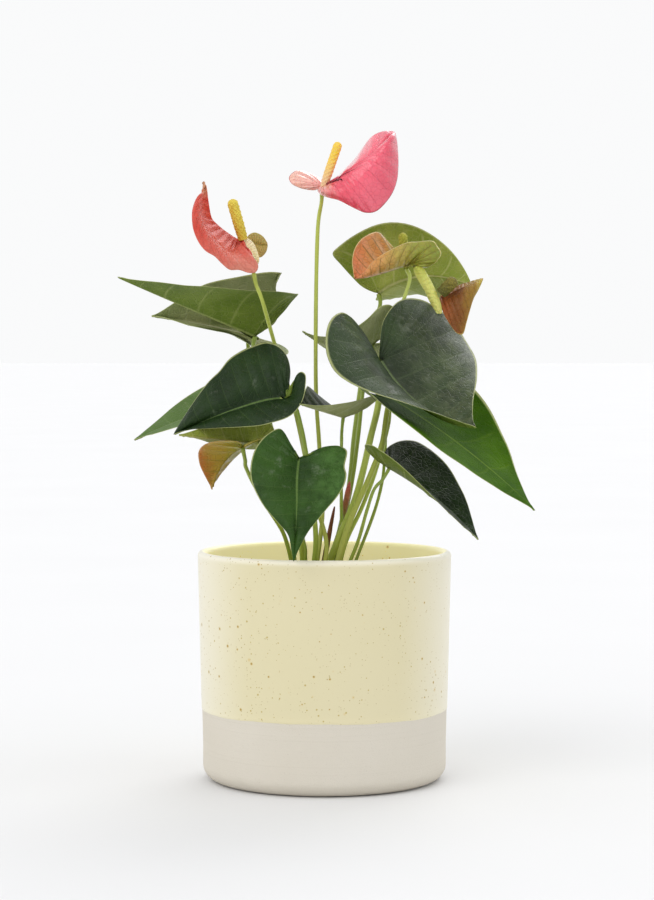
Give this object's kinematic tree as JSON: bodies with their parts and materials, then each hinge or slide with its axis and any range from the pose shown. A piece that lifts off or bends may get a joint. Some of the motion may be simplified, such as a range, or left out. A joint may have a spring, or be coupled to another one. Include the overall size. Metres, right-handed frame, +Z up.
{
  "type": "potted anthurium",
  "caption": "Living anthurium with heart-shaped leaves, waxy coloured spathes and spadices on slender stalks, rooted in soil in a round speckled glazed pot that stands on its flat base.",
  "frame": {"origin": "centre of the pot's flat base, on the surface it stands on", "axes": "+Z up along the pot's axis, -Y to the front of the plant, +X to its right as seen from the front"},
  "size_m": [0.2434, 0.2212, 0.3831],
  "materials": {
    "glaze": "satin",
    "earth": "matte",
    "stem_base": "matte",
    "leaf_green": "waxy satin",
    "stalk_green": "satin",
    "spathe_pink": "waxy gloss",
    "spathe_red": "waxy gloss",
    "spathe_tan": "waxy satin",
    "spathe_brown": "waxy satin",
    "spadix_yellow": "matte",
    "spadix_olive": "matte",
    "bud_red": "satin"
  },
  "bodies": {
    "root": {"pot": "glaze", "soil": "earth", "crown": "stem_base", "leaf_upper_left": "leaf_green", "leaf_back_left": "leaf_green", "leaf_left": "leaf_green", "leaf_low_back": "leaf_green", "leaf_low_left": "leaf_green", "leaf_front": "leaf_green", "leaf_right": "leaf_green", "leaf_lower_right": "leaf_green", "leaf_small_right": "leaf_green", "leaf_small_centre": "leaf_green", "leaf_back_right": "leaf_green", "leaf_top_right": "leaf_green", "petiole_upper_left": "stalk_green", "petiole_back_left": "stalk_green", "petiole_left": "stalk_green", "petiole_low_back": "stalk_green", "petiole_low_left": "stalk_green", "petiole_front": "stalk_green", "petiole_right": "stalk_green", "petiole_lower_right": "stalk_green", "petiole_small_right": "stalk_green", "petiole_small_centre": "stalk_green", "petiole_back_right": "stalk_green", "petiole_top_right": "stalk_green", "spathe_pink": "spathe_pink", "spathe_red": "spathe_red", "spathe_tan": "spathe_tan", "spathe_brown": "spathe_brown", "spathe_small": "spathe_tan", "peduncle_pink": "stalk_green", "peduncle_red": "stalk_green", "peduncle_tan": "stalk_green", "peduncle_brown": "stalk_green", "peduncle_small": "stalk_green", "spadix_pink": "spadix_yellow", "spadix_red": "spadix_yellow", "spadix_tan": "spadix_olive", "spadix_brown": "spadix_olive", "bud": "bud_red", "bud_stalk": "stalk_green", "sheath": "bud_red"}
  },
  "joints": []
}
